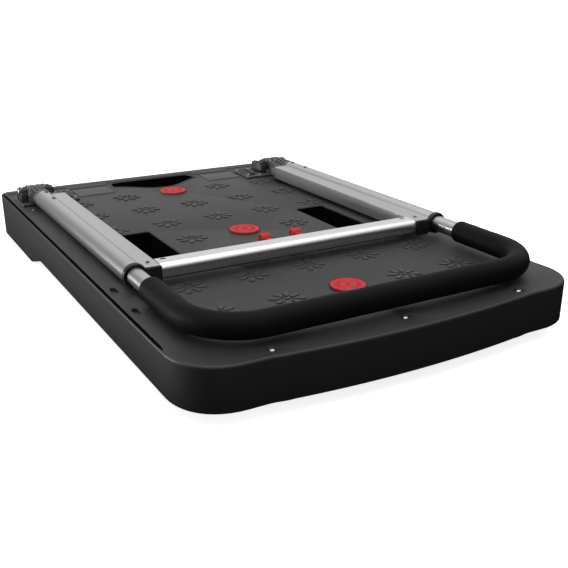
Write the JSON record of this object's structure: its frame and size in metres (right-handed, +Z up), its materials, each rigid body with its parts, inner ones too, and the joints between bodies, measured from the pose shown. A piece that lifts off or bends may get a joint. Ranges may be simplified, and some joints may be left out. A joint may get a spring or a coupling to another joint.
{
  "type": "folding platform cart",
  "caption": "Flat folding platform cart: moulded deck with hand-hold, fold-flat telescopic handle with foam grip, and castors that stow inside the deck.",
  "frame": {"origin": "centre of the folded cart's footprint, on the floor it lies on", "axes": "+Z up; +Y towards the handle hinges and hand-hold; -Y towards the grip; +X right when looking along +Y"},
  "size_m": [0.48, 0.748, 0.0942],
  "materials": {
    "deck_plastic": "moulded, fine texture",
    "red_plastic": "moulded",
    "pad_grey": "smooth",
    "screw_steel": "zinc plated",
    "aluminium_satin": "satin anodised extrusion",
    "cast_metal": "die-cast, matt",
    "foam": "closed-cell foam",
    "black_plastic": "moulded",
    "tyre": "smooth rubber",
    "zinc_steel": "zinc plated pressing"
  },
  "bodies": {
    "root": {"deck_shell": "deck_plastic", "grip_disc_front": "red_plastic", "grip_disc_mid": "red_plastic", "grip_disc_rear": "red_plastic", "rear_pad_left": "pad_grey", "rear_pad_right": "pad_grey", "rim_screw_left": "screw_steel", "rim_screw_mid": "screw_steel", "rim_screw_right": "screw_steel", "hinge_bracket_left": "cast_metal", "hinge_bracket_right": "cast_metal", "hinge_pin_left": "screw_steel", "hinge_pin_right": "screw_steel", "castor_hinge_rod_front_left": "screw_steel", "castor_hinge_rod_front_right": "screw_steel", "castor_hinge_rod_rear_left": "screw_steel", "castor_hinge_rod_rear_right": "screw_steel"},
    "handle_frame": {"side_rail_left": "aluminium_satin", "side_rail_right": "aluminium_satin", "rail_cap_left": "black_plastic", "rail_cap_right": "black_plastic", "crossbar": "aluminium_satin", "hinge_knuckle_left": "cast_metal", "hinge_knuckle_right": "cast_metal", "lock_spring": "screw_steel"},
    "grip": {"grip_tube": "aluminium_satin", "grip_foam": "foam"},
    "knob_left": {"release_knob_left": "red_plastic", "lock_rod_left": "screw_steel"},
    "knob_right": {"release_knob_right": "red_plastic", "lock_rod_right": "screw_steel"},
    "castor_front_left": {"castor_plate_front_left": "zinc_steel", "castor_fork_front_left": "zinc_steel", "castor_axle_front_left": "screw_steel"},
    "wheel_front_left": {"castor_hub_front_left": "black_plastic", "castor_tyre_front_left": "tyre"},
    "castor_front_right": {"castor_plate_front_right": "zinc_steel", "castor_fork_front_right": "zinc_steel", "castor_axle_front_right": "screw_steel"},
    "wheel_front_right": {"castor_hub_front_right": "black_plastic", "castor_tyre_front_right": "tyre"},
    "castor_rear_left": {"castor_plate_rear_left": "zinc_steel", "castor_fork_rear_left": "zinc_steel", "castor_axle_rear_left": "screw_steel"},
    "wheel_rear_left": {"castor_hub_rear_left": "black_plastic", "castor_tyre_rear_left": "tyre"},
    "castor_rear_right": {"castor_plate_rear_right": "zinc_steel", "castor_fork_rear_right": "zinc_steel", "castor_axle_rear_right": "screw_steel"},
    "wheel_rear_right": {"castor_hub_rear_right": "black_plastic", "castor_tyre_rear_right": "tyre"}
  },
  "joints": [
    {"name": "handle_fold", "type": "hinge", "parent": "root", "child": "handle_frame", "pos_m": [0, 0.293, 0.0804], "axis": [-1, 0, 0], "range_deg": [0, 90]},
    {"name": "handle_telescope", "type": "slide", "parent": "handle_frame", "child": "grip", "axis": [0, -1, 0], "range_m": [0, 0.25]},
    {"name": "knob_left_press", "type": "slide", "parent": "handle_frame", "child": "knob_left", "axis": [1, 0, 0], "range_m": [0, 0.005], "stiffness_N_per_m": 400, "springref_m": -0.002, "deforming": ["lock_spring"]},
    {"name": "knob_right_press", "type": "slide", "parent": "handle_frame", "child": "knob_right", "axis": [-1, 0, 0], "range_m": [0, 0.005], "stiffness_N_per_m": 400, "springref_m": -0.002, "deforming": ["lock_spring"]},
    {"name": "castor_flip_front_left", "type": "hinge", "parent": "root", "child": "castor_front_left", "pos_m": [-0.189, -0.218, 0.0545], "axis": [0, 1, 0], "range_deg": [0, 90]},
    {"name": "wheel_spin_front_left", "type": "hinge", "parent": "castor_front_left", "child": "wheel_front_left", "pos_m": [-0.1255, -0.218, 0.0345], "axis": [0, 0, 1], "continuous": true},
    {"name": "castor_flip_front_right", "type": "hinge", "parent": "root", "child": "castor_front_right", "pos_m": [0.189, -0.218, 0.0545], "axis": [0, -1, 0], "range_deg": [0, 90]},
    {"name": "wheel_spin_front_right", "type": "hinge", "parent": "castor_front_right", "child": "wheel_front_right", "pos_m": [0.1255, -0.218, 0.0345], "axis": [0, 0, 1], "continuous": true},
    {"name": "castor_flip_rear_left", "type": "hinge", "parent": "root", "child": "castor_rear_left", "pos_m": [-0.189, 0.218, 0.0545], "axis": [0, 1, 0], "range_deg": [0, 90]},
    {"name": "wheel_spin_rear_left", "type": "hinge", "parent": "castor_rear_left", "child": "wheel_rear_left", "pos_m": [-0.1255, 0.218, 0.0345], "axis": [0, 0, 1], "continuous": true},
    {"name": "castor_flip_rear_right", "type": "hinge", "parent": "root", "child": "castor_rear_right", "pos_m": [0.189, 0.218, 0.0545], "axis": [0, -1, 0], "range_deg": [0, 90]},
    {"name": "wheel_spin_rear_right", "type": "hinge", "parent": "castor_rear_right", "child": "wheel_rear_right", "pos_m": [0.1255, 0.218, 0.0345], "axis": [0, 0, 1], "continuous": true}
  ]
}
